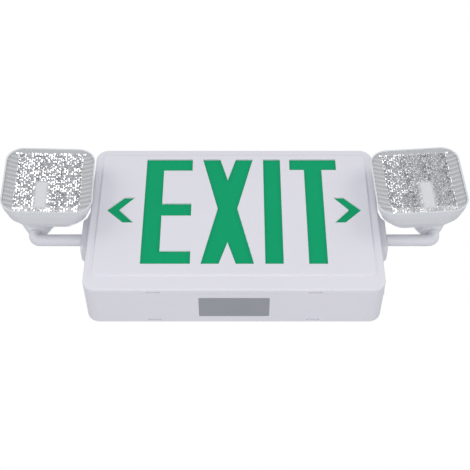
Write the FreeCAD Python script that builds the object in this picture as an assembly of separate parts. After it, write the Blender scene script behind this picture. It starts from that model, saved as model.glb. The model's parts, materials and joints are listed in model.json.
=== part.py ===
import FreeCAD, Part
import math
import os

V = FreeCAD.Vector

# Emergency exit light: a wall-fixed sign housing with a swivelling lamp head on an arm at each side.
# +X is to the right as the sign is read, -Y is the side that is read, +Z is up.
# The origin is the middle of the wire hole, on the wall face. All sizes are in millimetres.
# Heights below are measured up from the housing's bottom; save() moves each part to the origin.

# ---- housing ----
HOUSING_W = 322.0
HOUSING_H = 204.0
HOUSING_D = 60.0
CORNER_R = 14.0
FRAME_WALL = 2.4
COVER_DEPTH = 8.7         # from the front face back to the seam
COVER_WALL = 2.0
COVER_EDGE_R = 2.5
LIP_REACH = 4.6           # how far the frame's lip stands into the cover
LIP_ROOT = 6.0            # how far the lip runs back along the frame's wall
LIP_WALL = 1.6
SNAP_GAP = 0.3            # between the lip and the cover, and round the back plate

# ---- raised panel of the cover, with the legend's sheets behind it ----
PANEL_RISE = 1.8
PANEL_SIDE_BORDER = 8.5
PANEL_BOTTOM_BORDER = 18.0
PANEL_TOP_BORDER = 9.0
PANEL_R = 5.5
PANEL_BEVEL = 1.0
PANEL_SKIN = 2.0
SHEET_INSET = 6.0         # from the panel's edge to the pocket for the sheets
FILTER_T = 1.0
DIFFUSER_T = 2.0
SHEET_GAP = 0.3

# ---- latches ----
LATCH_X = 86.0
LATCH_W = 14.0
LATCH_H = 2.4
COVER_LATCH_BACK = 2.3    # from the seam forward to the middle of the cover's windows
BACK_LATCH_IN = 4.2       # from the wall face to the middle of the frame's rear windows
LATCH_GAP = 0.2

# ---- back plate ----
BACK_T = 3.0
WIRE_HOLE_R = 11.1
BOX_SLOT_SPACING = 88.9
BOX_SLOT_R = 2.3
BOX_SLOT_LEN = 9.0
KEYHOLE_SPACING = 220.0
KEYHOLE_SLOT_R = 2.3
KEYHOLE_HEAD_R = 4.6
KEYHOLE_DROP = 9.0
KNOCKOUT_R = 4.0
KNOCKOUT_RING = 0.8
KNOCKOUT_DEPTH = 1.6
KNOCKOUT_PCD = 70.0

# ---- side bosses that carry the arms ----
PAD_RISE = 9.5
PAD_BASE_LEN = 90.0
PAD_BASE_W = 30.0
PAD_TOP_LEN = 46.0
PAD_TOP_W = 26.0
PAD_BASE_R = 8.0
PAD_TOP_R = 7.0
PAD_EDGE_R = 2.0
PAD_STEPS = 3
PAD_WALL = 2.6
BEARING_R = 9.0
BEARING_LEN = 20.0

# ---- arms ----
ARM_DEPTH = 30.0          # arm axis, forward of the wall face
ARM_DROP = 12.0           # below the housing's mid-height
ARM_R = 6.7
SPIGOT_R = 5.0
ARM_BORE_R = 3.0
RUN_FIT = 0.05
FACE_GAP = 0.3
ARM_REACH = 64.5          # from the housing's side to the stub that carries the head
BEND_R = 7.2
STUB_RISE = 10.0          # arm axis to the shoulder under the head's neck
SPLAY = {"left": 2.4, "right": -1.4}      # degrees that each bend leaves its stub out of square
WASHER_R = 8.0
WASHER_T = 1.0
NUT_FLATS = 13.0
NUT_T = 4.0
SPIGOT_TAIL = 1.6         # what stands past the nut

# ---- lamp heads ----
HEAD_W = 100.0
HEAD_H = 100.0
HEAD_DEPTH = 44.0
HEAD_R = 20.0
HEAD_FORWARD = 58.0       # stub axis to the front rim
HEAD_INWARD = 16.5        # stub axis to the middle of the head
HEAD_UP = 40.4            # arm axis to the middle of the head
HEAD_LEAN = 2.3           # degrees that the bowl leans back on its neck
HEAD_WALL = 2.2
CAVITY_EXTRA = 1.2        # more wall round the reflector than at the back
RIM_WALL = 1.8
RIM_DEPTH = 5.2
SIDE_DRAFT = 0.22         # mm in for each mm back
TOP_DRAFT = 0.06
BOWL_START = 8.0
BOWL_BACK_W = 42.64       # the flat back that the bowl narrows to
BOWL_BACK_H = 42.72
BACK_CORNER_R = 20.0
BOWL_ANGLES = (0, 22, 42, 60, 76, 90)     # where the bowl's sections lie on its curve
TURN = {"left": 4.4, "right": 3.4}        # degrees that each head is turned in at rest
LENS_SINK = 0.8
LENS_T = 1.8
PRISM_PITCH = 5.5
PRISM_H = 0.9
PRISM_MARGIN = 7.0
GROOVE_H = 0.5
SEAT_GAP = 0.2
REFLECTOR_FLANGE_T = 1.4
REFLECTOR_DEPTH = 27.0
REFLECTOR_WALL = 1.3
REFLECTOR_MOUTH = 5.0     # from the flange's edge to the mouth
REFLECTOR_TAPER = 13.0
FLUTES = 12
FLUTE_RISE = 0.9
LAMP_W = 14.5
LAMP_H = 40.0
LAMP_T = 1.6
LAMP_STAND = 2.5
LAMP_OUTWARD = 7.0
LED_W = 3.4
LED_H = 0.9
LED_PITCH = 9.0
LED_ROWS = 4

# ---- neck of the head ----
NECK_R = 9.6
NECK_IN = 3.0             # the neck's middle, from the stub axis towards the head's middle
NECK_SWELL_H = 13.0       # from the neck's foot up to where it is widest
NECK_SWELL_W = 38.0
NECK_LEN = 47.0
NECK_WELL_H = 14.0
NECK_BACK = 10.5          # behind the stub axis
NECK_FLOOR = 12.0
NECK_CAVITY_R = 7.4
PASSAGE_BITE = 10.0       # how far the leads' passage runs into the bowl
PASSAGE_SIDE = 3.0
NECK_BITE = 3.0           # how far the neck runs into the bowl

# ---- inside the housing ----
BAR_LEN = 272.0
BAR_W = 12.0
BAR_T = 1.6
BAR_FORWARD = 30.0
CHIP_W = 5.0
CHIP_T = 1.6
CHIPS = 12
BOARD_W = 118.0
BOARD_H = 62.0
BOARD_T = 1.6
BOARD_X = 62.0
BOARD_TOP = 15.0          # the board's upper edge, below the housing's top
POST_H = 8.0
POST_R = 3.6
POST_INSET = 6.0
BOARD_SCREW_R = 1.45
SCREW_HEAD_R = 2.9
SCREW_HEAD_H = 2.0
SCREW_GRIP = 6.0
CORE_W = 34.0
CORE_H = 30.0
CORE_T = 12.0
COIL_W = 20.0
COIL_H = 24.0
COIL_T = 26.0
CELL_R = 7.25
CELL_LEN = 50.0
CELLS = 3
PACK_X = -78.0
PACK_TOP = 22.0           # the strap's upper end, below the housing's top
CRADLE_T = 2.0
CRADLE_H = 9.0
STRAP_W = 14.0
STRAP_T = 1.2
STRAP_FOOT = 9.0
TERMINAL_W = 28.0
TERMINAL_H = 10.0
TERMINAL_T = 12.0
TERMINAL_POLES = 4
TERMINAL_WELL = 5.0
TERMINAL_MOUTH = 4.0
RELAY_W = 16.0
RELAY_H = 12.0
RELAY_T = 15.0
CAN_R = 5.0
CAN_LEN = 18.0
SMALL_CAN_R = 4.0
SMALL_CAN_LEN = 12.0
SOCKET_W = 10.0
SOCKET_H = 6.0
SOCKET_T = 7.0

# ---- test button and indicator, in the right side wall ----
BUTTON_R = 4.0
BUTTON_FLANGE_R = 5.4
BUTTON_FLANGE_T = 1.0
BUTTON_PROUD = 2.2
BUTTON_TRAVEL = 1.5
BUTTON_FORWARD = 26.0
BUTTON_Z = 22.0
SWITCH_W = 12.0
SWITCH_T = 7.0
SWITCH_PIN_R = 1.6
CARRIER_T = 1.8
INDICATOR_R = 2.5
INDICATOR_Z = 38.0
INDICATOR_LEN = 10.5
INDICATOR_PROUD = 1.5

SIDES = {"left": -1.0, "right": 1.0}
HALF_W = HOUSING_W / 2
WIRE_HOLE_Z = HOUSING_H / 2
ARM_Z = WIRE_HOLE_Z - ARM_DROP
STUB_X = HALF_W + ARM_REACH
HEAD_MID_Z = ARM_Z + HEAD_UP
BOARD_Z = HOUSING_H - BOARD_TOP - BOARD_H / 2
PACK_Z = HOUSING_H - PACK_TOP - CELLS * CELL_R - STRAP_T - STRAP_FOOT
SEAM_Y = -(HOUSING_D - COVER_DEPTH)
PANEL_W = HOUSING_W - 2 * PANEL_SIDE_BORDER
PANEL_H = HOUSING_H - PANEL_BOTTOM_BORDER - PANEL_TOP_BORDER
PANEL_MID_Z = PANEL_BOTTOM_BORDER + PANEL_H / 2
PANEL_BACK_Y = -HOUSING_D + PANEL_SKIN
BEARING_END = HALF_W + PAD_RISE - BEARING_LEN
HEAD_X = STUB_X - HEAD_INWARD
RIM_Y = -ARM_DEPTH - HEAD_FORWARD
NECK_Z = ARM_Z + STUB_RISE + FACE_GAP


def rounded_wire(w, h, r, y, cx=0.0, cz=0.0):
    """A rounded rectangle at one y, drawn round from the lower left side."""
    x0, x1, z0, z1 = cx - w / 2, cx + w / 2, cz - h / 2, cz + h / 2
    k = r * (1 - math.sqrt(0.5))
    edges = [
        Part.LineSegment(V(x0 + r, y, z0), V(x1 - r, y, z0)).toShape(),
        Part.Arc(V(x1 - r, y, z0), V(x1 - k, y, z0 + k), V(x1, y, z0 + r)).toShape(),
        Part.LineSegment(V(x1, y, z0 + r), V(x1, y, z1 - r)).toShape(),
        Part.Arc(V(x1, y, z1 - r), V(x1 - k, y, z1 - k), V(x1 - r, y, z1)).toShape(),
        Part.LineSegment(V(x1 - r, y, z1), V(x0 + r, y, z1)).toShape(),
        Part.Arc(V(x0 + r, y, z1), V(x0 + k, y, z1 - k), V(x0, y, z1 - r)).toShape(),
        Part.LineSegment(V(x0, y, z1 - r), V(x0, y, z0 + r)).toShape(),
        Part.Arc(V(x0, y, z0 + r), V(x0 + k, y, z0 + k), V(x0 + r, y, z0)).toShape(),
    ]
    return Part.Wire(edges)


def slab(w, h, r, y0, y1, cx=0.0, cz=HOUSING_H / 2):
    """A rounded rectangle as thick as y0 to y1."""
    return Part.Face(rounded_wire(w, h, r, y0, cx, cz)).extrude(V(0, y1 - y0, 0))


def box(x0, x1, y0, y1, z0, z1):
    return Part.makeBox(x1 - x0, y1 - y0, z1 - z0, V(x0, y0, z0))


def rod(r, start, direction, length):
    return Part.makeCylinder(r, length, V(*start), V(*direction))


def hex_nut(flats, bore_r, start, direction, length):
    """A hexagon with a round hole, from start along direction."""
    radius = flats / math.sqrt(3)
    axis = V(*direction)
    side = V(0, 1, 0)
    other = axis.cross(side)
    corners = [side * (radius * math.cos(math.radians(60 * i))) + other * (radius * math.sin(math.radians(60 * i)))
               for i in range(7)]
    base = V(*start)
    face = Part.Face(Part.makePolygon([base + c for c in corners]))
    return face.extrude(axis * length).cut(rod(bore_r, start, direction, length))


def fuse_all(shapes):
    first, rest = shapes[0], shapes[1:]
    return first.fuse(rest).removeSplitter() if rest else first


def mirrored(shape):
    return shape.mirror(V(0, 0, 0), V(1, 0, 0))


def save(name, shape):
    shape = shape.copy()
    shape.translate(V(0, 0, -WIRE_HOLE_Z))
    bad = [s for s in shape.Solids if not s.isValid()]
    if not shape.Solids or bad:
        raise RuntimeError("not a sound solid: " + name)
    solids = shape.Solids
    out = solids[0] if len(solids) == 1 else Part.makeCompound(solids)
    out.exportStep("parts/" + name + ".step")
    print(name, len(solids), "solid(s), volume %.0f" % shape.Volume)


# ---------------------------------------------------------------- housing


def latch_windows(y_mid, depth, spread=0.0):
    """Bars that cut the latch windows through the top and bottom walls."""
    half_w, half_h = LATCH_W / 2 + spread, LATCH_H / 2 + spread
    bars = []
    for x in (-LATCH_X, LATCH_X):
        for z0, z1 in ((-1.0, depth), (HOUSING_H - depth, HOUSING_H + 1.0)):
            bars.append(box(x - half_w, x + half_w, y_mid - half_h, y_mid + half_h, z0, z1))
    return bars


def pad_sections():
    """Distance out from the side wall and share of the way from base to top outline."""
    rise = PAD_RISE - PAD_EDGE_R
    flare = []
    for i in range(PAD_STEPS + 1):
        t = i / PAD_STEPS
        flare.append((rise * t, 1 - (1 - t) ** 1.7, 0.0))
    crown = []
    for a in (45, 90):
        out = PAD_EDGE_R * math.sin(math.radians(a))
        crown.append((rise + out, 1.0, PAD_EDGE_R * (1 - math.cos(math.radians(a)))))
    return flare + crown


def side_pad(inset, reach):
    """The long boss on the right side wall, drawn in from its outer skin by inset."""
    rows = [(-reach, 0.0, 0.0)] + pad_sections()
    sections = []
    for out, share, edge in rows:
        length = PAD_BASE_LEN + (PAD_TOP_LEN - PAD_BASE_LEN) * share - 2 * (inset + edge)
        width = PAD_BASE_W + (PAD_TOP_W - PAD_BASE_W) * share - 2 * (inset + edge)
        r = PAD_BASE_R + (PAD_TOP_R - PAD_BASE_R) * share - inset - edge
        wire = rounded_wire(width, length, r, 0.0)
        wire.rotate(V(0, 0, 0), V(0, 0, 1), 90)
        x = HALF_W + out - (inset if out > 0 else 0.0)
        wire.translate(V(x, -ARM_DEPTH, ARM_Z))
        if not sections or x > last_x + 0.05:
            sections.append(wire)
            last_x = x
    return Part.makeLoft(sections, True, True)


def switch_carrier():
    """Two ribs on the right wall's inside that hold the switch body between them."""
    inner_x = HALF_W - FRAME_WALL
    back_x = inner_x - BUTTON_FLANGE_T - BUTTON_TRAVEL - 3 * FACE_GAP - SWITCH_T
    y0, y1 = -BUTTON_FORWARD - SWITCH_W / 2, -BUTTON_FORWARD + SWITCH_W / 2
    ribs = []
    for z in (BUTTON_Z - SWITCH_W / 2 - CARRIER_T, BUTTON_Z + SWITCH_W / 2):
        ribs.append(box(back_x, inner_x + FRAME_WALL / 2, y0, y1, z, z + CARRIER_T))
    return ribs


def housing_frame():
    """The four-walled frame with its front lip, side bosses, bearings and windows."""
    outer = slab(HOUSING_W, HOUSING_H, CORNER_R, SEAM_Y, 0.0)
    lip_in = COVER_WALL + SNAP_GAP
    lip = slab(HOUSING_W - 2 * lip_in, HOUSING_H - 2 * lip_in, CORNER_R - lip_in,
               SEAM_Y - LIP_REACH, SEAM_Y + LIP_ROOT)
    pads = [side_pad(0.0, FRAME_WALL), mirrored(side_pad(0.0, FRAME_WALL))]
    body = fuse_all([outer, lip] + pads)
    in_w = lip_in + LIP_WALL
    lip_hole = slab(HOUSING_W - 2 * in_w, HOUSING_H - 2 * in_w, CORNER_R - in_w,
                    SEAM_Y - LIP_REACH - 1, SEAM_Y + LIP_ROOT)
    main_hole = slab(HOUSING_W - 2 * FRAME_WALL, HOUSING_H - 2 * FRAME_WALL, CORNER_R - FRAME_WALL,
                     SEAM_Y + LIP_ROOT, 1.0)
    hollow = side_pad(PAD_WALL, FRAME_WALL + 1.0)
    body = body.cut([lip_hole, main_hole, hollow, mirrored(hollow)])
    for sign in SIDES.values():
        start = (sign * BEARING_END, -ARM_DEPTH, ARM_Z)
        body = body.fuse(rod(BEARING_R, start, (sign, 0, 0), BEARING_LEN - PAD_WALL / 2))
    body = body.fuse(switch_carrier())
    cuts = latch_windows(-BACK_LATCH_IN, FRAME_WALL + 1.0)
    for sign in SIDES.values():
        start = (sign * (BEARING_END - 1), -ARM_DEPTH, ARM_Z)
        cuts.append(rod(SPIGOT_R + RUN_FIT, start, (sign, 0, 0), BEARING_LEN + 2))
    cuts.append(rod(BUTTON_R + RUN_FIT, (HALF_W - 6, -BUTTON_FORWARD, BUTTON_Z), (1, 0, 0), 8))
    cuts.append(rod(INDICATOR_R + RUN_FIT, (HALF_W - 6, -BUTTON_FORWARD, INDICATOR_Z), (1, 0, 0), 8))
    body = body.cut(cuts)
    hooks = []
    for z in (lip_in, HOUSING_H - lip_in):
        for x in (-LATCH_X, LATCH_X):
            y_mid = SEAM_Y - COVER_LATCH_BACK
            half_w, half_h = LATCH_W / 2 - LATCH_GAP, LATCH_H / 2 - LATCH_GAP
            out = COVER_WALL * 0.6
            z0, z1 = (z - out, z + LIP_WALL / 2) if z < WIRE_HOLE_Z else (z - LIP_WALL / 2, z + out)
            hooks.append(box(x - half_w, x + half_w, y_mid - half_h, y_mid + half_h, z0, z1))
    return body.fuse(hooks).removeSplitter()


def front_cover():
    """The clipped cover: a shallow shell with a raised panel and a pocket for the legend's sheets."""
    border_y = -HOUSING_D + PANEL_RISE
    shell = slab(HOUSING_W, HOUSING_H, CORNER_R, border_y, SEAM_Y)
    rim = [e for e in shell.Edges if all(abs(v.Y - border_y) < 1e-4 for v in e.Vertexes)]
    shell = shell.makeFillet(COVER_EDGE_R, rim)
    panel = slab(PANEL_W, PANEL_H, PANEL_R, -HOUSING_D, border_y + PANEL_SKIN / 2, 0.0, PANEL_MID_Z)
    crown = [e for e in panel.Edges if all(abs(v.Y + HOUSING_D) < 1e-4 for v in e.Vertexes)]
    panel = panel.makeChamfer(PANEL_BEVEL, crown)
    body = shell.fuse(panel)
    inside = slab(HOUSING_W - 2 * COVER_WALL, HOUSING_H - 2 * COVER_WALL, CORNER_R - COVER_WALL,
                  border_y + COVER_WALL, SEAM_Y + 1)
    pocket = slab(PANEL_W - 2 * SHEET_INSET, PANEL_H - 2 * SHEET_INSET, PANEL_R - 2,
                  PANEL_BACK_Y, border_y + COVER_WALL + 1, 0.0, PANEL_MID_Z)
    windows = latch_windows(SEAM_Y - COVER_LATCH_BACK, COVER_WALL + 0.2)
    return body.cut([inside, pocket] + windows).removeSplitter()


def legend_sheet(front_y, thickness):
    w = PANEL_W - 2 * SHEET_INSET - 2 * SHEET_GAP
    h = PANEL_H - 2 * SHEET_INSET - 2 * SHEET_GAP
    return slab(w, h, PANEL_R - 3, front_y, front_y + thickness, 0.0, PANEL_MID_Z)


def keyhole(x):
    """A round entry for the screw's head with a slot above it for its shank."""
    z = WIRE_HOLE_Z
    entry = rod(KEYHOLE_HEAD_R, (x, -BACK_T - 1, z - KEYHOLE_DROP), (0, 1, 0), BACK_T + 2)
    top = rod(KEYHOLE_SLOT_R, (x, -BACK_T - 1, z), (0, 1, 0), BACK_T + 2)
    slot = box(x - KEYHOLE_SLOT_R, x + KEYHOLE_SLOT_R, -BACK_T - 1, 1, z - KEYHOLE_DROP, z)
    return entry.fuse([top, slot])


def box_slot(x):
    """A level slot for one of the electrical box's screws."""
    half = BOX_SLOT_LEN / 2 - BOX_SLOT_R
    z = WIRE_HOLE_Z
    ends = [rod(BOX_SLOT_R, (x + s * half, -BACK_T - 1, z), (0, 1, 0), BACK_T + 2) for s in (-1, 1)]
    middle = box(x - half, x + half, -BACK_T - 1, 1, z - BOX_SLOT_R, z + BOX_SLOT_R)
    return middle.fuse(ends)


def knockout_groove(x, z):
    """The thin-walled ring that lets a blank be knocked out for another box pattern."""
    start = (x, -KNOCKOUT_DEPTH, z)
    disc = rod(KNOCKOUT_R, start, (0, 1, 0), KNOCKOUT_DEPTH + 1)
    return disc.cut(rod(KNOCKOUT_R - KNOCKOUT_RING, start, (0, 1, 0), KNOCKOUT_DEPTH + 1))


def board_posts():
    places = []
    for sx in (-1, 1):
        for sz in (-1, 1):
            places.append((BOARD_X + sx * (BOARD_W / 2 - POST_INSET), BOARD_Z + sz * (BOARD_H / 2 - POST_INSET)))
    return places


def strap_feet():
    reach = CELLS * CELL_R + STRAP_T + STRAP_FOOT / 2
    return [(PACK_X, PACK_Z - reach), (PACK_X, PACK_Z + reach)]


def back_plate():
    """The plate that is screwed to the wall or box, with tongues that snap into the frame."""
    inset = FRAME_WALL + SNAP_GAP
    plate = slab(HOUSING_W - 2 * inset, HOUSING_H - 2 * inset, CORNER_R - inset, -BACK_T, 0.0)
    extras = [rod(POST_R, (x, -BACK_T - POST_H, z), (0, 1, 0), POST_H + 1) for x, z in board_posts()]
    for x, z in strap_feet():
        extras.append(rod(POST_R, (x, -BACK_T - CRADLE_T, z), (0, 1, 0), CRADLE_T + 1))
    for side in (-1, 1):
        x = PACK_X + side * (CELL_LEN / 2 + SNAP_GAP + CRADLE_T / 2)
        extras.append(box(x - CRADLE_T / 2, x + CRADLE_T / 2, -BACK_T - CRADLE_H, -BACK_T / 2,
                          PACK_Z - CELLS * CELL_R, PACK_Z + CELLS * CELL_R))
    for x in (-LATCH_X, LATCH_X):
        half_w, half_h = LATCH_W / 2 - LATCH_GAP, LATCH_H / 2 - LATCH_GAP
        y0, y1 = -BACK_LATCH_IN - half_h, -BACK_LATCH_IN + half_h
        for edge, out in ((inset, -1), (HOUSING_H - inset, 1)):
            web = sorted((edge, edge - out * 2.0))
            tip = sorted((edge + out * (SNAP_GAP + FRAME_WALL * 0.6), edge - out * 2.0))
            extras.append(box(x - half_w, x + half_w, y0, -BACK_T / 2, web[0], web[1]))
            extras.append(box(x - half_w, x + half_w, y0, y1, tip[0], tip[1]))
    plate = plate.fuse(extras)
    cuts = [rod(WIRE_HOLE_R, (0, -BACK_T - 1, WIRE_HOLE_Z), (0, 1, 0), BACK_T + 2)]
    cuts += [box_slot(x) for x in (-BOX_SLOT_SPACING / 2, BOX_SLOT_SPACING / 2)]
    cuts += [keyhole(x) for x in (-KEYHOLE_SPACING / 2, KEYHOLE_SPACING / 2)]
    for i in range(4):
        a = math.radians(45 + 90 * i)
        cuts.append(knockout_groove(KNOCKOUT_PCD / 2 * math.cos(a), WIRE_HOLE_Z + KNOCKOUT_PCD / 2 * math.sin(a)))
    for x, z in board_posts():
        cuts.append(rod(BOARD_SCREW_R, (x, -BACK_T - POST_H, z), (0, 1, 0), SCREW_GRIP))
    for x, z in strap_feet():
        cuts.append(rod(BOARD_SCREW_R, (x, -BACK_T - CRADLE_T, z), (0, 1, 0), CRADLE_T + BACK_T / 2))
    return plate.cut(cuts).removeSplitter()


# ---------------------------------------------------------------- inside the housing


def led_bar(upper):
    """A strip board on the top or bottom wall with a row of chips facing inwards."""
    wall_z = HOUSING_H - FRAME_WALL if upper else FRAME_WALL
    inward = -1 if upper else 1
    y0, y1 = -BAR_FORWARD - BAR_W / 2, -BAR_FORWARD + BAR_W / 2
    z = sorted((wall_z, wall_z + inward * BAR_T))
    strip = box(-BAR_LEN / 2, BAR_LEN / 2, y0, y1, z[0], z[1])
    chip_z = sorted((wall_z + inward * BAR_T * 0.9, wall_z + inward * (BAR_T + CHIP_T)))
    pitch = BAR_LEN / CHIPS
    chips = []
    for i in range(CHIPS):
        x = -BAR_LEN / 2 + pitch * (i + 0.5)
        chips.append(box(x - CHIP_W / 2, x + CHIP_W / 2, -BAR_FORWARD - CHIP_W / 2, -BAR_FORWARD + CHIP_W / 2,
                         chip_z[0], chip_z[1]))
    return strip.fuse(chips)


BOARD_BACK_Y = -BACK_T - POST_H
BOARD_FRONT_Y = BOARD_BACK_Y - BOARD_T


def charger_board():
    board = box(BOARD_X - BOARD_W / 2, BOARD_X + BOARD_W / 2, BOARD_FRONT_Y, BOARD_BACK_Y,
                BOARD_Z - BOARD_H / 2, BOARD_Z + BOARD_H / 2)
    holes = [rod(BOARD_SCREW_R + 0.2, (x, BOARD_FRONT_Y - 1, z), (0, 1, 0), BOARD_T + 2) for x, z in board_posts()]
    return board.cut(holes)


def board_component(x_off, z_off):
    return BOARD_X + x_off * BOARD_W / 2, BOARD_Z + z_off * BOARD_H / 2


def transformer():
    """A laminated core round a wound bobbin, on the board."""
    x, z = board_component(-0.55, 0.1)
    mid_y = BOARD_FRONT_Y - COIL_T / 2
    core = box(x - CORE_W / 2, x + CORE_W / 2, mid_y - CORE_T / 2, mid_y + CORE_T / 2, z - CORE_H / 2, z + CORE_H / 2)
    coil = slab(COIL_W, COIL_H, 3.0, BOARD_FRONT_Y - COIL_T, BOARD_FRONT_Y, x, z)
    return core.fuse(coil).removeSplitter()


def board_components():
    """The relay, smoothing capacitors and lead sockets that stand on the board."""
    y = BOARD_FRONT_Y
    x, z = board_component(0.0, 0.35)
    pieces = [box(x - RELAY_W / 2, x + RELAY_W / 2, y - RELAY_T, y, z - RELAY_H / 2, z + RELAY_H / 2)]
    for x_off, r, length in ((0.28, CAN_R, CAN_LEN), (0.5, CAN_R, CAN_LEN), (0.68, SMALL_CAN_R, SMALL_CAN_LEN)):
        x, z = board_component(x_off, 0.35)
        pieces.append(rod(r, (x, y - length, z), (0, 1, 0), length))
    for x_off in (-0.05, 0.2, 0.45):
        x, z = board_component(x_off, -0.62)
        pieces.append(box(x - SOCKET_W / 2, x + SOCKET_W / 2, y - SOCKET_T, y, z - SOCKET_H / 2, z + SOCKET_H / 2))
    return Part.makeCompound(pieces)


def terminal_block():
    """A row of screw clamps at the board's end, each with its screw well and wire mouth."""
    x, z = board_component(0.68, -0.1)
    y = BOARD_FRONT_Y
    body = box(x - TERMINAL_W / 2, x + TERMINAL_W / 2, y - TERMINAL_T, y, z - TERMINAL_H / 2, z + TERMINAL_H / 2)
    pitch = TERMINAL_W / TERMINAL_POLES
    cuts = []
    for i in range(TERMINAL_POLES):
        px = x - TERMINAL_W / 2 + pitch * (i + 0.5)
        cuts.append(rod(pitch * 0.3, (px, y - TERMINAL_T - 1, z + 1), (0, 1, 0), TERMINAL_WELL + 1))
        cuts.append(box(px - pitch * 0.32, px + pitch * 0.32, y - TERMINAL_T * 0.5, y - TERMINAL_T * 0.2,
                        z - TERMINAL_H / 2 - 1, z - TERMINAL_H / 2 + TERMINAL_MOUTH))
    return body.cut(cuts)


def board_screw(x, y, z, grip):
    head = rod(SCREW_HEAD_R, (x, y - SCREW_HEAD_H, z), (0, 1, 0), SCREW_HEAD_H)
    return head.fuse(rod(BOARD_SCREW_R, (x, y, z), (0, 1, 0), grip))


def battery_pack():
    """Cells side by side in one shrink sleeve."""
    y = -BACK_T - CELL_R
    cells = []
    for i in range(CELLS):
        z = PACK_Z + (i - (CELLS - 1) / 2) * 2 * CELL_R
        cells.append(rod(CELL_R, (PACK_X - CELL_LEN / 2, y, z), (1, 0, 0), CELL_LEN))
    span = (CELLS - 1) * CELL_R
    sleeve = box(PACK_X - CELL_LEN / 2, PACK_X + CELL_LEN / 2, y - CELL_R * 0.8, y + CELL_R * 0.8,
                 PACK_Z - span, PACK_Z + span)
    return fuse_all(cells + [sleeve])


def battery_strap():
    """A bent strip over the pack with a screwed foot above and below it."""
    top = 2 * CELL_R
    half = CELLS * CELL_R
    foot_y = -BACK_T - CRADLE_T
    front_y = -BACK_T - top - FACE_GAP / 3
    x0, x1 = PACK_X - STRAP_W / 2, PACK_X + STRAP_W / 2
    bridge = box(x0, x1, front_y - STRAP_T, front_y, PACK_Z - half - STRAP_T, PACK_Z + half + STRAP_T)
    legs = []
    for s in (-1, 1):
        inner = PACK_Z + s * (half + FACE_GAP / 3)
        z = sorted((inner, inner + s * STRAP_T))
        foot = sorted((inner, inner + s * (STRAP_T + STRAP_FOOT)))
        legs.append(box(x0, x1, front_y - STRAP_T, foot_y, z[0], z[1]))
        legs.append(box(x0, x1, foot_y - STRAP_T, foot_y, foot[0], foot[1]))
    holes = [rod(BOARD_SCREW_R + 0.2, (x, foot_y - STRAP_T - 1, z), (0, 1, 0), STRAP_T + 2) for x, z in strap_feet()]
    return bridge.fuse(legs).cut(holes).removeSplitter()


def test_button():
    """The capped plunger, held in its hole by a flange behind the wall."""
    inner_x = HALF_W - FRAME_WALL
    flange_x = inner_x - FACE_GAP - BUTTON_FLANGE_T
    start = (flange_x, -BUTTON_FORWARD, BUTTON_Z)
    stem = rod(BUTTON_R, start, (1, 0, 0), HALF_W + BUTTON_PROUD - flange_x)
    cap_x = HALF_W + BUTTON_PROUD
    crown = [e for e in stem.Edges if all(abs(v.X - cap_x) < 1e-4 for v in e.Vertexes)]
    return stem.makeChamfer(0.8, crown).fuse(rod(BUTTON_FLANGE_R, start, (1, 0, 0), BUTTON_FLANGE_T))


def test_switch():
    """The switch body behind the button, with its own short pin."""
    front_x = HALF_W - FRAME_WALL - BUTTON_FLANGE_T - BUTTON_TRAVEL - 3 * FACE_GAP
    half = SWITCH_W / 2
    body = box(front_x - SWITCH_T, front_x, -BUTTON_FORWARD - half, -BUTTON_FORWARD + half,
               BUTTON_Z - half, BUTTON_Z + half)
    return body.fuse(rod(SWITCH_PIN_R, (front_x, -BUTTON_FORWARD, BUTTON_Z), (1, 0, 0), FACE_GAP))


def status_led():
    """The indicator lamp: a rod through the wall with a bevelled tip and a collar behind it."""
    inner_x = HALF_W - FRAME_WALL
    tip_x = HALF_W + INDICATOR_PROUD
    lamp = rod(INDICATOR_R, (tip_x - INDICATOR_LEN, -BUTTON_FORWARD, INDICATOR_Z), (1, 0, 0), INDICATOR_LEN)
    crown = [e for e in lamp.Edges if all(abs(v.X - tip_x) < 1e-4 for v in e.Vertexes)]
    collar = rod(INDICATOR_R + 0.8, (inner_x - 1.2, -BUTTON_FORWARD, INDICATOR_Z), (1, 0, 0), 1.2)
    return lamp.makeChamfer(INDICATOR_PROUD * 0.6, crown).fuse(collar)


# ---------------------------------------------------------------- arms


def splayed(shape, angle):
    """Tips what stands on the stub outwards about the middle of the bend."""
    out = shape.copy()
    out.rotate(V(STUB_X - BEND_R, -ARM_DEPTH, ARM_Z + BEND_R), V(0, 1, 0), angle)
    return out


def arm_path(radius, inner_x, top_z, angle):
    """A round bar along the arm: level from inner_x, round the bend, then up to top_z."""
    level = rod(radius, (inner_x, -ARM_DEPTH, ARM_Z), (1, 0, 0), STUB_X - BEND_R - inner_x)
    disc = Part.Face(Part.Wire(Part.makeCircle(radius, V(STUB_X - BEND_R, -ARM_DEPTH, ARM_Z), V(1, 0, 0))))
    bend = disc.revolve(V(STUB_X - BEND_R, -ARM_DEPTH, ARM_Z + BEND_R), V(0, -1, 0), 90 - angle)
    stub = rod(radius, (STUB_X, -ARM_DEPTH, ARM_Z + BEND_R), (0, 0, 1), top_z - ARM_Z - BEND_R)
    return fuse_all([level, bend, splayed(stub, angle)])


NUT_STACK = WASHER_T + NUT_T
INNER_TAIL = BEARING_END - FACE_GAP - NUT_STACK - SPIGOT_TAIL
NECK_SEAT = NECK_Z + NECK_FLOOR + FACE_GAP
STUB_TOP = NECK_SEAT + NUT_STACK + SPIGOT_TAIL


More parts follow.
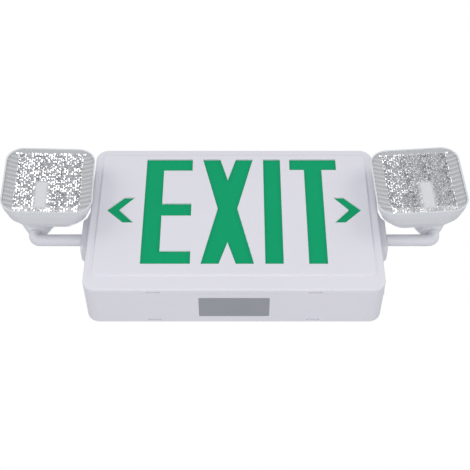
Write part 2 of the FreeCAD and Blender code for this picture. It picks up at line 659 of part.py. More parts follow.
def arm(angle):
    """The elbow tube, stepped down to a spigot at each end and bored for the leads."""
    shoulder_x = HALF_W + PAD_RISE + FACE_GAP
    tube = arm_path(ARM_R, shoulder_x, ARM_Z + STUB_RISE, angle)
    spigot = rod(SPIGOT_R, (INNER_TAIL, -ARM_DEPTH, ARM_Z), (1, 0, 0), shoulder_x + 1 - INNER_TAIL)
    post = rod(SPIGOT_R, (STUB_X, -ARM_DEPTH, ARM_Z + STUB_RISE - 1), (0, 0, 1), STUB_TOP - ARM_Z - STUB_RISE + 1)
    bore = rod(ARM_BORE_R, (INNER_TAIL - 1, -ARM_DEPTH, ARM_Z), (1, 0, 0), STUB_X - INNER_TAIL + 1)
    rise = rod(ARM_BORE_R, (STUB_X, -ARM_DEPTH, ARM_Z), (0, 0, 1), STUB_TOP + 1 - ARM_Z)
    return fuse_all([tube, spigot, splayed(post, angle)]).cut([bore, splayed(rise, angle)])


def arm_washer():
    start = (BEARING_END - FACE_GAP - WASHER_T, -ARM_DEPTH, ARM_Z)
    disc = rod(WASHER_R, start, (1, 0, 0), WASHER_T)
    return disc.cut(rod(SPIGOT_R, start, (1, 0, 0), WASHER_T))


def arm_nut():
    start = (BEARING_END - FACE_GAP - NUT_STACK, -ARM_DEPTH, ARM_Z)
    return hex_nut(NUT_FLATS, SPIGOT_R, start, (1, 0, 0), NUT_T)


def swivel_washer():
    start = (STUB_X, -ARM_DEPTH, NECK_SEAT)
    disc = rod(NECK_CAVITY_R - FACE_GAP, start, (0, 0, 1), WASHER_T)
    return disc.cut(rod(SPIGOT_R, start, (0, 0, 1), WASHER_T))


def swivel_nut():
    start = (STUB_X, -ARM_DEPTH, NECK_SEAT + WASHER_T)
    return hex_nut(NUT_FLATS - 1.0, SPIGOT_R, start, (0, 0, 1), NUT_T)


# ---------------------------------------------------------------- lamp heads


def bowl_section(depth, inset):
    """The head's outline at a depth behind the rim, drawn in from its skin by inset."""
    rise = max(0.0, (depth - BOWL_START) / (HEAD_DEPTH - BOWL_START))
    curve = 1 - math.sqrt(max(0.0, 1 - rise * rise))
    side_inset = (HEAD_W - BOWL_BACK_W) / 2 - SIDE_DRAFT * HEAD_DEPTH
    top_inset = (HEAD_H - BOWL_BACK_H) / 2 - TOP_DRAFT * HEAD_DEPTH
    w = HEAD_W - 2 * (SIDE_DRAFT * depth + side_inset * curve + inset)
    h = HEAD_H - 2 * (TOP_DRAFT * depth + top_inset * curve + inset)
    r = HEAD_R + (BACK_CORNER_R - HEAD_R) * rise - inset
    return w, h, r


def bowl(inset, depths, shift):
    """The bowl lofted through sections at the given depths, moved forward by shift."""
    wires = []
    for depth in depths:
        w, h, r = bowl_section(depth, inset)
        wires.append(rounded_wire(w, h, r, RIM_Y + depth - shift, HEAD_X, HEAD_MID_Z))
    return Part.makeLoft(wires, True, True)


def bowl_depths():
    span = HEAD_DEPTH - BOWL_START
    return [0.0] + [BOWL_START + span * math.sin(math.radians(a)) for a in BOWL_ANGLES]


def neck_section(rise, half_x, behind, ahead):
    """A level rounded outline round the neck's middle, at a rise above its foot."""
    r = min(half_x, (behind + ahead) / 2) - 0.02
    wire = rounded_wire(2 * half_x, behind + ahead, r, 0.0)
    wire.rotate(V(0, 0, 0), V(1, 0, 0), -90)
    wire.translate(V(STUB_X - NECK_IN, -ARM_DEPTH + (behind - ahead) / 2, NECK_Z + rise))
    return wire


def neck():
    """The neck: a round foot that swells upwards into the back of the bowl."""
    front = -ARM_DEPTH - RIM_Y - HEAD_DEPTH + NECK_BITE
    wide, back = NECK_SWELL_W / 2, NECK_BACK
    rows = [
        (0.0, NECK_R, NECK_R, NECK_R),
        (NECK_SWELL_H * 0.5, (NECK_R + wide) / 2 + 0.5, NECK_R, (NECK_R + front) / 2),
        (NECK_SWELL_H, wide, back, front),
        (NECK_LEN * 0.5, wide, back * 0.9, front),
        (NECK_LEN * 0.72, wide * 0.9, back * 0.45, front),
        (NECK_LEN * 0.9, wide * 0.65, back * -0.3, front),
        (NECK_LEN, wide * 0.4, back * -0.85, front),
    ]
    return Part.makeLoft([neck_section(*row) for row in rows], True, True)


def lean(shape):
    """Tips the bowl and what sits in it back about the middle of the rim."""
    out = shape.copy()
    out.rotate(V(HEAD_X, RIM_Y, HEAD_MID_Z), V(1, 0, 0), -HEAD_LEAN)
    return out


def head_shell():
    """The moulded shell: bowl, neck and socket, with a stepped rim for reflector and lens."""
    depths = bowl_depths()
    body = lean(bowl(0.0, depths, 0.0)).fuse(neck())
    cavity = lean(bowl(HEAD_WALL + CAVITY_EXTRA, depths, HEAD_WALL))
    w, h, r = bowl_section(0.0, RIM_WALL)
    mouth = lean(slab(w, h, r, RIM_Y - HEAD_WALL - 1, RIM_Y + RIM_DEPTH, HEAD_X, HEAD_MID_Z))
    bore = rod(SPIGOT_R + RUN_FIT, (STUB_X, -ARM_DEPTH, NECK_Z - 1), (0, 0, 1), NECK_FLOOR + 2)
    well = rod(NECK_CAVITY_R, (STUB_X, -ARM_DEPTH, NECK_Z + NECK_FLOOR), (0, 0, 1), NECK_WELL_H)
    passage = box(STUB_X - NECK_CAVITY_R, STUB_X + NECK_CAVITY_R - PASSAGE_SIDE, RIM_Y + HEAD_DEPTH - PASSAGE_BITE, -ARM_DEPTH,
                  NECK_Z + NECK_FLOOR + 1, NECK_Z + NECK_FLOOR + NECK_WELL_H)
    return body.cut([cavity, mouth, bore, well, passage]).removeSplitter()


def fluted_wire(w, h, r, y, rise):
    """A rounded rectangle whose four sides are rows of shallow ridges."""
    x0, x1 = HEAD_X - w / 2, HEAD_X + w / 2
    z0, z1 = HEAD_MID_Z - h / 2, HEAD_MID_Z + h / 2
    k = r * (1 - math.sqrt(0.5))
    corners = [
        (V(x1 - r, y, z0), V(x1 - k, y, z0 + k), V(x1, y, z0 + r)),
        (V(x1, y, z1 - r), V(x1 - k, y, z1 - k), V(x1 - r, y, z1)),
        (V(x0 + r, y, z1), V(x0 + k, y, z1 - k), V(x0, y, z1 - r)),
        (V(x0, y, z0 + r), V(x0 + k, y, z0 + k), V(x0 + r, y, z0)),
    ]
    inward = [V(-rise, 0, 0), V(0, 0, -rise), V(rise, 0, 0), V(0, 0, rise)]
    edges = []
    for i, (start, mid, end) in enumerate(corners):
        edges.append(Part.Arc(start, mid, end).toShape())
        run = corners[(i + 1) % 4][0] - end
        for j in range(FLUTES):
            a, b = end + run * (j / FLUTES), end + run * ((j + 1) / FLUTES)
            crest = (a + b) * 0.5 + inward[i]
            edges.append(Part.LineSegment(a, crest).toShape())
            edges.append(Part.LineSegment(crest, b).toShape())
    return Part.Wire(edges)


LENS_BACK_Y = RIM_Y + LENS_SINK + LENS_T
TRAY_BACK_Y = LENS_BACK_Y + PRISM_H + FACE_GAP


def reflector():
    """A bright tray with a flat flange and four fluted sloping walls."""
    seat_w, seat_h, seat_r = bowl_section(0.0, RIM_WALL + SEAT_GAP)
    flange_y = RIM_Y + RIM_DEPTH - REFLECTOR_FLANGE_T
    flange = slab(seat_w, seat_h, seat_r, flange_y, RIM_Y + RIM_DEPTH, HEAD_X, HEAD_MID_Z)
    mouth_w, mouth_h = seat_w - 2 * REFLECTOR_MOUTH, seat_h - 2 * REFLECTOR_MOUTH
    floor_w, floor_h = mouth_w - 2 * REFLECTOR_TAPER, mouth_h - 2 * REFLECTOR_TAPER
    floor_y = flange_y + REFLECTOR_DEPTH
    mouth_r, floor_r = seat_r - REFLECTOR_MOUTH, (seat_r - REFLECTOR_MOUTH) * 0.6
    t = REFLECTOR_WALL
    skin = [
        rounded_wire(mouth_w + 2 * t, mouth_h + 2 * t, mouth_r + t, flange_y + 0.1, HEAD_X, HEAD_MID_Z),
        rounded_wire(floor_w + 2 * t, floor_h + 2 * t, floor_r + t, floor_y + t, HEAD_X, HEAD_MID_Z),
    ]
    tray = [
        fluted_wire(mouth_w, mouth_h, mouth_r, flange_y - 0.01, FLUTE_RISE),
        fluted_wire(floor_w, floor_h, floor_r, floor_y, FLUTE_RISE * floor_w / mouth_w),
    ]
    body = flange.fuse(Part.makeLoft(skin, True, True))
    return body.cut(Part.makeLoft(tray, True, True)).removeSplitter()


def zigzag(along, across, pitch, height, y, direction):
    """Straight prisms side by side: along is their length, across the width that they fill."""
    count = int(across // pitch)
    start = -count * pitch / 2
    points = [(start, 0.0)]
    for i in range(count):
        points.append((start + (i + 0.5) * pitch, height))
        points.append((start + (i + 1) * pitch, 0.0))
    points.append((start + count * pitch, -0.4))
    points.append((start, -0.4))
    if direction == "x":
        corners = [V(HEAD_X - along / 2, y + q, HEAD_MID_Z + p) for p, q in points]
        sweep = V(along, 0, 0)
    else:
        corners = [V(HEAD_X + p, y - q, HEAD_MID_Z - along / 2) for p, q in points]
        sweep = V(0, 0, along)
    return Part.Face(Part.makePolygon(corners + [corners[0]])).extrude(sweep)


def lens():
    """The clear cover: level prisms behind, upright grooves in front."""
    w, h, r = bowl_section(0.0, RIM_WALL + SEAT_GAP)
    front_y = RIM_Y + LENS_SINK
    plate = slab(w, h, r, front_y, LENS_BACK_Y, HEAD_X, HEAD_MID_Z)
    in_w, in_h = w - 2 * PRISM_MARGIN, h - 2 * PRISM_MARGIN
    field = slab(in_w, in_h, r - PRISM_MARGIN, front_y - 1, LENS_BACK_Y + PRISM_H + 1, HEAD_X, HEAD_MID_Z)
    prisms = zigzag(in_w, in_h, PRISM_PITCH, PRISM_H, LENS_BACK_Y, "x").common(field)
    grooves = zigzag(in_h, in_w, PRISM_PITCH, -GROOVE_H, front_y, "z").common(field)
    legs = lens_legs(w, h, r)
    return plate.fuse([prisms, legs]).cut(grooves).removeSplitter()


def lens_legs(w, h, r):
    """The edge ring that spaces the lens off the reflector's flange."""
    ring = slab(w, h, r, LENS_BACK_Y - 0.2, RIM_Y + RIM_DEPTH - REFLECTOR_FLANGE_T, HEAD_X, HEAD_MID_Z)
    hole = slab(w - 3, h - 3, r - 1.5, LENS_BACK_Y - 1, RIM_Y + RIM_DEPTH, HEAD_X, HEAD_MID_Z)
    return ring.cut(hole)


def lamp_place():
    return HEAD_X + LAMP_OUTWARD, HEAD_MID_Z, RIM_Y + RIM_DEPTH - REFLECTOR_FLANGE_T + REFLECTOR_DEPTH


def lamp_board():
    """The light board, on a foot that stands on the reflector's floor."""
    x, z, floor_y = lamp_place()
    board = box(x - LAMP_W / 2, x + LAMP_W / 2, floor_y - LAMP_STAND - LAMP_T, floor_y - LAMP_STAND,
                z - LAMP_H / 2, z + LAMP_H / 2)
    foot = box(x - LAMP_W / 4, x + LAMP_W / 4, floor_y - LAMP_STAND, floor_y, z - LAMP_H / 4, z + LAMP_H / 4)
    return board.fuse(foot)


def lamp_leds():
    """Two columns of emitters on the light board."""
    x, z, floor_y = lamp_place()
    face_y = floor_y - LAMP_STAND - LAMP_T
    dots = []
    for col in (-1, 1):
        for row in range(LED_ROWS):
            z_led = z + (row - (LED_ROWS - 1) / 2) * LED_PITCH
            x_led = x + col * LAMP_W / 4
            dots.append(box(x_led - LED_W / 2, x_led + LED_W / 2, face_y - LED_H, face_y,
                            z_led - LED_W / 2, z_led + LED_W / 2))
    return Part.makeCompound(dots)


# ---------------------------------------------------------------- writing the parts


def place(shape, side, turned=False, tipped=True):
    """Right-hand shapes are drawn once, upright: heads are turned in, stubs' pieces tipped, left ones mirrored."""
    out = shape.copy()
    if turned:
        out.rotate(V(STUB_X, -ARM_DEPTH, 0), V(0, 0, 1), -TURN[side])
    if tipped:
        out = splayed(out, SPLAY[side])
    return out if side == "right" else mirrored(out)


def main():
    os.makedirs("parts", exist_ok=True)
    save("housing_frame", housing_frame())
    save("front_cover", front_cover())
    save("back_plate", back_plate())
    save("legend_filter", legend_sheet(PANEL_BACK_Y, FILTER_T))
    save("light_diffuser", legend_sheet(PANEL_BACK_Y + FILTER_T, DIFFUSER_T))
    save("led_bar_upper", led_bar(True))
    save("led_bar_lower", led_bar(False))
    save("charger_board", charger_board())
    save("transformer", transformer())
    save("board_components", board_components())
    save("terminal_block", terminal_block())
    save("board_screws", Part.makeCompound(
        [board_screw(x, BOARD_FRONT_Y, z, BOARD_T + SCREW_GRIP - 1) for x, z in board_posts()]))
    save("battery_pack", battery_pack())
    save("battery_strap", battery_strap())
    save("strap_screws", Part.makeCompound(
        [board_screw(x, -BACK_T - CRADLE_T - STRAP_T, z, STRAP_T + CRADLE_T) for x, z in strap_feet()]))
    save("test_button", test_button())
    save("test_switch", test_switch())
    save("status_led", status_led())
    inner_pieces = {"arm_washer": arm_washer(), "arm_nut": arm_nut()}
    stub_pieces = {"swivel_washer": swivel_washer(), "swivel_nut": swivel_nut()}
    head_pieces = {"head_shell": head_shell(), "reflector": lean(reflector()), "lens": lean(lens()),
                   "lamp_board": lean(lamp_board()), "lamp_leds": lean(lamp_leds())}
    for side in ("left", "right"):
        save("arm_" + side, place(arm(SPLAY[side]), side, tipped=False))
        for name, shape in inner_pieces.items():
            save(name + "_" + side, place(shape, side, tipped=False))
        for name, shape in stub_pieces.items():
            save(name + "_" + side, place(shape, side))
        for name, shape in head_pieces.items():
            save(name + "_" + side, place(shape, side, turned=True))


main()
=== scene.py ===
# %% [markdown]
# # Emergency exit light
# A sign housing with a green-lit legend and a square lamp head on an elbow arm at each side.
# +X is to the right as the sign is read, -Y is the side that is read, +Z is up. Metres.
# The origin is the middle of the wire hole, on the wall face.
#
# The solids of the part come in as a fixed frame. Some are shown as they are, with a finish, and some are
# covered by a finer piece made here, such as the stencil cover and the lenses. Every piece rides on a body
# of the frame, so that it moves with the arm, the head or the button that carries it.

import json
import math
import random

import bmesh
import bpy
from mathutils import Matrix, Vector

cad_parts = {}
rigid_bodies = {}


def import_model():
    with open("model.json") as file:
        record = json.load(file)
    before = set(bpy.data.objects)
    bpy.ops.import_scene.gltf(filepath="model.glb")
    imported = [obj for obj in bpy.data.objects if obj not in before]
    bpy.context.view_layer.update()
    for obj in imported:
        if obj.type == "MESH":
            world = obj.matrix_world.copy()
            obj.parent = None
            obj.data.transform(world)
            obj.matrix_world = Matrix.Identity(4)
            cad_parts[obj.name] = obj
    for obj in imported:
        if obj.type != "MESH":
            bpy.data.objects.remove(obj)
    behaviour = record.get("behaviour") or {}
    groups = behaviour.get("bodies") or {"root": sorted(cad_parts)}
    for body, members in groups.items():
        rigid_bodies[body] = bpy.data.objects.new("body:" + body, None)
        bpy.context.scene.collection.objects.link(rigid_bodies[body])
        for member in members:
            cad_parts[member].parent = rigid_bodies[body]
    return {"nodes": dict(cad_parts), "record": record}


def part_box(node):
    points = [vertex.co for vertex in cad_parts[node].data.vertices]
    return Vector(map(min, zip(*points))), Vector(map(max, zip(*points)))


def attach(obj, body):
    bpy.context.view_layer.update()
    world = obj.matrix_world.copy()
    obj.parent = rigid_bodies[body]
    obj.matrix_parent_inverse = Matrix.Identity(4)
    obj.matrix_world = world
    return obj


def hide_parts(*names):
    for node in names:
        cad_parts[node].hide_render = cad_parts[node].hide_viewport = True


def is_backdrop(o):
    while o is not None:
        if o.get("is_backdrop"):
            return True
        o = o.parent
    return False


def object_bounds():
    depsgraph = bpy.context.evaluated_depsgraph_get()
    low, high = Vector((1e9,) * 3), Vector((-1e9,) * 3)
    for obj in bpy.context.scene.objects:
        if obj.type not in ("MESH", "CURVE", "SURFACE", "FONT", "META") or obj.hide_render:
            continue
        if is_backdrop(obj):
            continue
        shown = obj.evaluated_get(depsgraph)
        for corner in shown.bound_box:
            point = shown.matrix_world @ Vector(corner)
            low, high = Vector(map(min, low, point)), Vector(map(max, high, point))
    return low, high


MM = 0.001

for old in list(bpy.data.objects):
    bpy.data.objects.remove(old)
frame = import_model()
size_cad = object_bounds()
nodes = frame["nodes"]


def box_of(node):
    """A node's lowest and highest corners."""
    low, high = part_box(node)
    return Vector(low), Vector(high)


# %% [markdown]
# ## Materials
# Most of the sign is white moulded plastic, with a spark-eroded grain and a slight drift in its colour. It could
# be one flat colour, but then large faces look like paper, so noise moves the colour and the gloss a little.
# `Sock` wraps a node's output, so that a product of maps is written as one. `Graph` builds one finish.


# %%
class Sock:
    def __init__(self, graph, socket):
        self.graph = graph
        self.socket = socket

    def __mul__(self, other):
        return self.graph.node("ShaderNodeMath", operation="MULTIPLY", ins={0: self, 1: other})

    __rmul__ = __mul__


class Graph:
    """One material's node tree, with its Principled shader."""

    def __init__(self, name, color, rough, metallic=0.0, **fixed):
        self.mat = bpy.data.materials.new(name)
        self.mat.use_nodes = True
        self.tree = self.mat.node_tree
        self.shader = self.tree.nodes["Principled BSDF"]
        self.set(self.shader, {"Base Color": (*color, 1.0), "Roughness": rough, "Metallic": metallic})
        self.set(self.shader, {key.replace("_", " "): value for key, value in fixed.items()})
        self.coords = self.node("ShaderNodeTexCoord", out="Object")

    def set(self, node, ins):
        for key, value in ins.items():
            if isinstance(value, Sock):
                self.tree.links.new(value.socket, node.inputs[key])
            else:
                node.inputs[key].default_value = value

    def node(self, kind, out=0, ins=None, **attrs):
        node = self.tree.nodes.new(kind)
        for key, value in attrs.items():
            setattr(node, key, value)
        self.set(node, ins or {})
        return Sock(self, node.outputs[out])

    def noise(self, scale, detail=2.0, rough=0.5):
        ins = {"Vector": self.coords, "Scale": scale, "Detail": detail, "Roughness": rough}
        return self.node("ShaderNodeTexNoise", ins=ins)

    def ramp(self, value, low, high, start=0.0, end=1.0):
        ins = {"Value": value, "From Min": start, "From Max": end, "To Min": low, "To Max": high}
        return self.node("ShaderNodeMapRange", ins=ins)

    def mix(self, factor, a, b):
        node = self.tree.nodes.new("ShaderNodeMix")
        node.data_type = "RGBA"
        self.tree.links.new(factor.socket, node.inputs[0])
        node.inputs[6].default_value = (*a, 1.0)
        node.inputs[7].default_value = (*b, 1.0)
        return Sock(self, node.outputs[2])

    def bump(self, height, strength, distance):
        ins = {"Height": height, "Strength": strength, "Distance": distance}
        self.set(self.shader, {"Normal": self.node("ShaderNodeBump", ins=ins)})


def shade(color, amount):
    return tuple(c * amount for c in color)


def moulded(name, color, rough, grain=900.0, depth=0.00004, spread=0.03, **fixed):
    """Moulded plastic: a slow drift in colour and gloss under a fine spark-eroded grain."""
    g = Graph(name, color, rough, **fixed)
    drift = g.noise(9.0, 3.0)
    g.set(g.shader, {"Base Color": g.mix(drift, shade(color, 1 - spread), shade(color, 1 + spread))})
    fine = g.noise(grain, 2.0)
    g.set(g.shader, {"Roughness": g.ramp(g.noise(60.0), rough - 0.05, rough + 0.05)})
    g.bump(fine, 0.35, depth)
    return g.mat


def metal(name, color, rough, grain=400.0):
    g = Graph(name, color, rough, metallic=1.0)
    g.set(g.shader, {"Roughness": g.ramp(g.noise(grain, 4.0), rough - 0.08, rough + 0.1)})
    g.set(g.shader, {"Base Color": g.mix(g.noise(40.0), shade(color, 0.93), shade(color, 1.03))})
    return g.mat


WHITE = (0.71, 0.70, 0.75)
HEAD_WHITE = (0.66, 0.675, 0.70)
MAT = {
    "housing_plastic": moulded("housing_plastic", WHITE, 0.42),
    "shell_plastic": moulded("shell_plastic", HEAD_WHITE, 0.38),
    "arm_metal": moulded("arm_metal", (0.66, 0.66, 0.70), 0.4, grain=1500.0, depth=0.00002),
    "diffuser_white": moulded("diffuser_white", (0.8, 0.8, 0.8), 0.5),
    "circuit_board": moulded("circuit_board", (0.03, 0.16, 0.07), 0.35, spread=0.12),
    "light_board": moulded("light_board", (0.75, 0.75, 0.72), 0.45),
    "emitter": moulded("emitter", (0.85, 0.84, 0.74), 0.3),
    "dark_moulding": moulded("dark_moulding", (0.03, 0.03, 0.035), 0.45),
    "core_steel": metal("core_steel", (0.18, 0.18, 0.19), 0.5),
    "battery_sleeve": moulded("battery_sleeve", (0.04, 0.12, 0.35), 0.25),
    "zinc_steel": metal("zinc_steel", (0.6, 0.6, 0.62), 0.3),
    "terminal_grey": moulded("terminal_grey", (0.2, 0.21, 0.23), 0.5),
    "button_red": moulded("button_red", (0.60, 0.60, 0.64), 0.35),
    "indicator_lens": moulded("indicator_lens", (0.05, 0.4, 0.12), 0.15),
}


def green_sheet():
    """The coloured filter behind the legend, with a weak glow and no lamps behind it."""
    g = Graph("legend_green", (0.003, 0.32, 0.13), 0.45, Specular_IOR_Level=0.12)
    drift = g.noise(14.0, 2.0)
    base = g.mix(drift, (0.001, 0.282, 0.116), (0.002, 0.306, 0.127))
    g.set(g.shader, {"Base Color": base, "Emission Color": base, "Emission Strength": 0.12})
    g.bump(g.noise(700.0), 0.2, 0.00003)
    return g.mat


def clear_cover():
    """The lens, as an opaque bright sheet: each facet's colour is a painted reflection, a painted glint or
    painted dark for what a clear prism would pick up.
    """
    g = Graph("clear_cover", (0.80, 0.80, 0.83), 0.12, metallic=0.75)
    # Painted reflection: each facet's stored value mixes the colour from a painted dark to a painted white
    # glint.
    painted_reflection = g.node("ShaderNodeAttribute", out="Fac", attribute_name="painted_reflection")
    g.set(g.shader, {"Base Color": g.mix(painted_reflection, (0.20, 0.20, 0.21), (1.0, 1.0, 1.0))})
    g.set(g.shader, {"Roughness": g.ramp(g.noise(220.0), 0.08, 0.16)})
    return g.mat


def bright_tray():
    """The vacuum-metallised reflector in the head."""
    g = Graph("reflector_bright", (0.86, 0.86, 0.88), 0.14, metallic=1.0)
    g.set(g.shader, {"Roughness": g.ramp(g.noise(90.0), 0.08, 0.2)})
    return g.mat


def foil():
    """Brushed silver foil for the bare rating plate."""
    g = Graph("foil", (0.37, 0.385, 0.41), 0.4, metallic=0.6)
    g.set(g.shader, {"Roughness": g.ramp(g.noise(350.0, 4.0), 0.3, 0.45)})
    g.set(g.shader, {"Base Color": g.mix(g.noise(30.0), (0.35, 0.365, 0.39), (0.39, 0.405, 0.43))})
    return g.mat


MAT["legend_green"] = green_sheet()
MAT["clear_cover"] = clear_cover()
MAT["reflector_bright"] = bright_tray()
MAT["foil"] = foil()

for row in frame["record"]["subparts"]:
    if row["node"] in nodes and row["material_slot"] in MAT:
        data = nodes[row["node"]].data
        data.materials.clear()
        data.materials.append(MAT[row["material_slot"]])
        data.shade_smooth()
        data.set_sharp_from_angle(angle=math.radians(32))

# %% [markdown]
# ## Mesh building
# Each piece is a mesh with real thickness. Most could be a modified primitive, but rings of points joined into
# quads keep a rounded rectangle's corners exact, and they nest, which a bevel doesn't promise.


# %%
def make(name, verts, faces, material, body, slot, smooth=32):
    mesh = bpy.data.meshes.new(name)
    mesh.from_pydata([tuple(v) for v in verts], [], faces)
    mesh.validate()
    obj = bpy.data.objects.new(name, mesh)
    bpy.context.scene.collection.objects.link(obj)
    mesh.materials.append(material)
    bm = bmesh.new()
    bm.from_mesh(mesh)
    bmesh.ops.recalc_face_normals(bm, faces=bm.faces)
    bm.to_mesh(mesh)
    bm.free()
    finish_shading(obj, smooth)
    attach(obj, body)
    return obj


def finish_shading(obj, angle):
    obj.data.shade_smooth()
    obj.data.set_sharp_from_angle(angle=math.radians(angle))


def rounded(w, h, r, cx=0.0, cz=0.0, steps=10):
    """Points round a rounded rectangle, from the middle of its right side."""
    points = []
    corners = ((1, 1, 0), (-1, 1, 90), (-1, -1, 180), (1, -1, 270))
    for sx, sz, start in corners:
        mid_x, mid_z = cx + sx * (w / 2 - r), cz + sz * (h / 2 - r)
        for i in range(steps + 1):
            a = math.radians(start + 90 * i / steps)
            points.append((mid_x + r * math.cos(a), mid_z + r * math.sin(a)))
    return points


def loft(rings, cap_start=True, cap_end=True):
    """Quads between rings of equal length; the ends are closed with one face each."""
    verts, faces = [], []
    n = len(rings[0])
    for ring in rings:
        verts += ring
    for k in range(len(rings) - 1):
        for i in range(n):
            j = (i + 1) % n
            faces.append((k * n + i, k * n + j, (k + 1) * n + j, (k + 1) * n + i))
    if cap_start:
        faces.append(tuple(range(n - 1, -1, -1)))
    if cap_end:
        last = (len(rings) - 1) * n
        faces.append(tuple(range(last, last + n)))
    return verts, faces


def apply_boolean(obj, cutter, operation):
    mod = obj.modifiers.new("cut", "BOOLEAN")
    mod.operation = operation
    mod.solver = "EXACT"
    mod.object = cutter
    graph = bpy.context.evaluated_depsgraph_get()
    result = bpy.data.meshes.new_from_object(obj.evaluated_get(graph))
    obj.modifiers.clear()
    old = obj.data
    obj.data = result
    obj.data.name = obj.name
    bpy.data.meshes.remove(old)
    bpy.data.objects.remove(cutter)


def raw(name, verts, faces):
    mesh = bpy.data.meshes.new(name)
    mesh.from_pydata([tuple(v) for v in verts], [], faces)
    obj = bpy.data.objects.new(name, mesh)
    bpy.context.scene.collection.objects.link(obj)
    bm = bmesh.new()
    bm.from_mesh(mesh)
    bmesh.ops.recalc_face_normals(bm, faces=bm.faces)
    bm.to_mesh(mesh)
    bm.free()
    return obj


# %% [markdown]
# ## Stencil cover
# The real cover is one moulding: a shallow shell with a rounded edge and a raised panel, with the legend cut
# right through. The legend could be a picture on a flat plate, but then its edges catch no light. So a shell
# is lofted from nested rings, and the letters, the chevrons and the latch windows are cut out of it together.

# %%
cover_low, cover_high = box_of("front_cover")
cover_w, cover_h = cover_high.x - cover_low.x, cover_high.z - cover_low.z
cover_mid_z = (cover_high.z + cover_low.z) / 2
FRONT_Y = cover_low.y
SEAM_Y = cover_high.y
CORNER_R = 14 * MM
EDGE_R = 2.5 * MM
PANEL_RISE = 1.8 * MM
PANEL_SIDE = 8.5 * MM
PANEL_LOW = 18 * MM
PANEL_TOP = 9 * MM
PANEL_R = 5.5 * MM
SKIN = 2 * MM
BORDER_Y = FRONT_Y + PANEL_RISE
panel_w = cover_w - 2 * PANEL_SIDE
panel_h = cover_h - PANEL_LOW - PANEL_TOP
panel_z = cover_low.z + PANEL_LOW + panel_h / 2


def cover_ring(inset, y):
    pts = rounded(cover_w - 2 * inset, cover_h - 2 * inset, CORNER_R - inset, 0.0, cover_mid_z)
    return [(x, y, z) for x, z in pts]


def panel_ring(inset, y, r=PANEL_R):
    pts = rounded(panel_w - 2 * inset, panel_h - 2 * inset, r - inset, 0.0, panel_z)
    return [(x, y, z) for x, z in pts]


def arc_steps(count):
    return [math.radians(90 * (i + 1) / count) for i in range(count)]


rings = [cover_ring(SKIN, BORDER_Y + SKIN), cover_ring(SKIN, SEAM_Y), cover_ring(0.2 * MM, SEAM_Y)]
rings += [cover_ring(0.0, SEAM_Y - 0.2 * MM), cover_ring(0.0, BORDER_Y + EDGE_R)]
for a in arc_steps(6):
    rings.append(cover_ring(EDGE_R * (1 - math.cos(a)), BORDER_Y + EDGE_R * (1 - math.sin(a))))
# The panel's sloping side, as inset and rise in millimetres, from its foot to its crown.
PANEL_SLOPE = ((-0.9, 0.0), (-0.3, 0.02), (0.0, 0.15), (0.25, 0.4),
               (1.3, 1.45), (1.55, 1.66), (1.9, 1.78), (2.5, 1.8))
for inset, rise in PANEL_SLOPE:
    rings.append(panel_ring(inset * MM, BORDER_Y - rise * MM))
cover = raw("stencil_cover", *loft(rings))


def offset_polygon(points, d):
    """The outline moved outward by d, corner by corner; points run counter-clockwise."""
    out = []
    n = len(points)
    for i in range(n):
        p, a, b = Vector(points[i]), Vector(points[i - 1]), Vector(points[(i + 1) % n])
        u, v = (p - a).normalized(), (b - p).normalized()
        nu, nv = Vector((u.y, -u.x)), Vector((v.y, -v.x))
        bis = (nu + nv).normalized()
        out.append(p + bis * (d / max(0.35, bis.dot(nu))))
    return out


def area2(points):
    """Twice the outline's area, negative where the points run clockwise."""
    total = 0.0
    for (x0, z0), (x1, z1) in zip([points[-1], *points[:-1]], points):
        total += x0 * z1 - x1 * z0
    return total


# %% [markdown]
# ### Legend
# The letters are plain straight-sided outlines, in millimetres from the wire hole. Text from a font could be
# turned to mesh, but these narrow exit letters have no common font, and twelve points a letter are easily read.

# %%
LEG_LOW, LEG_TOP = -67.7, 84.7
letter_e = [(-100.4, LEG_LOW), (-48.0, LEG_LOW), (-48.0, -51.2), (-81.4, -51.2), (-81.4, 0.0), (-48.6, 0.0),
            (-48.6, 16.8), (-81.4, 16.8), (-81.4, 68.0), (-48.6, 68.0), (-48.6, LEG_TOP), (-100.4, LEG_TOP)]
letter_x = [(-35.4, LEG_LOW), (-17.0, LEG_LOW), (-7.2, -36.9), (2.2, LEG_LOW), (20.8, LEG_LOW), (3.0, 9.8),
            (21.0, LEG_TOP), (2.4, LEG_TOP), (-7.2, 51.4), (-16.4, LEG_TOP), (-35.4, LEG_TOP), (-17.8, 9.8)]
letter_i = [(34.2, LEG_LOW), (52.7, LEG_LOW), (52.7, LEG_TOP), (34.2, LEG_TOP)]
letter_t = [(81.2, LEG_LOW), (100.2, LEG_LOW), (100.2, 69.0), (117.2, 69.0), (117.2, LEG_TOP), (64.6, LEG_TOP),
            (64.6, 69.0), (81.2, 69.0)]
CH_TIP_Z = 7.5
CH_LOW, CH_TOP = -10.0, 25.4
chevron_left = [(-141.5, CH_TIP_Z), (-123.4, CH_LOW), (-113.0, CH_LOW), (-129.0, CH_TIP_Z),
                (-113.0, CH_TOP), (-123.4, CH_TOP)]
chevron_right = [(-x, z) for x, z in chevron_left]
CUT_LIP = 0.25 * MM
CUT_GROW = 0.6 * MM
cutter_verts, cutter_faces = [], []


def add_cutter(verts, faces):
    base = len(cutter_verts)
    cutter_verts.extend(verts)
    cutter_faces.extend(tuple(base + i for i in f) for f in faces)


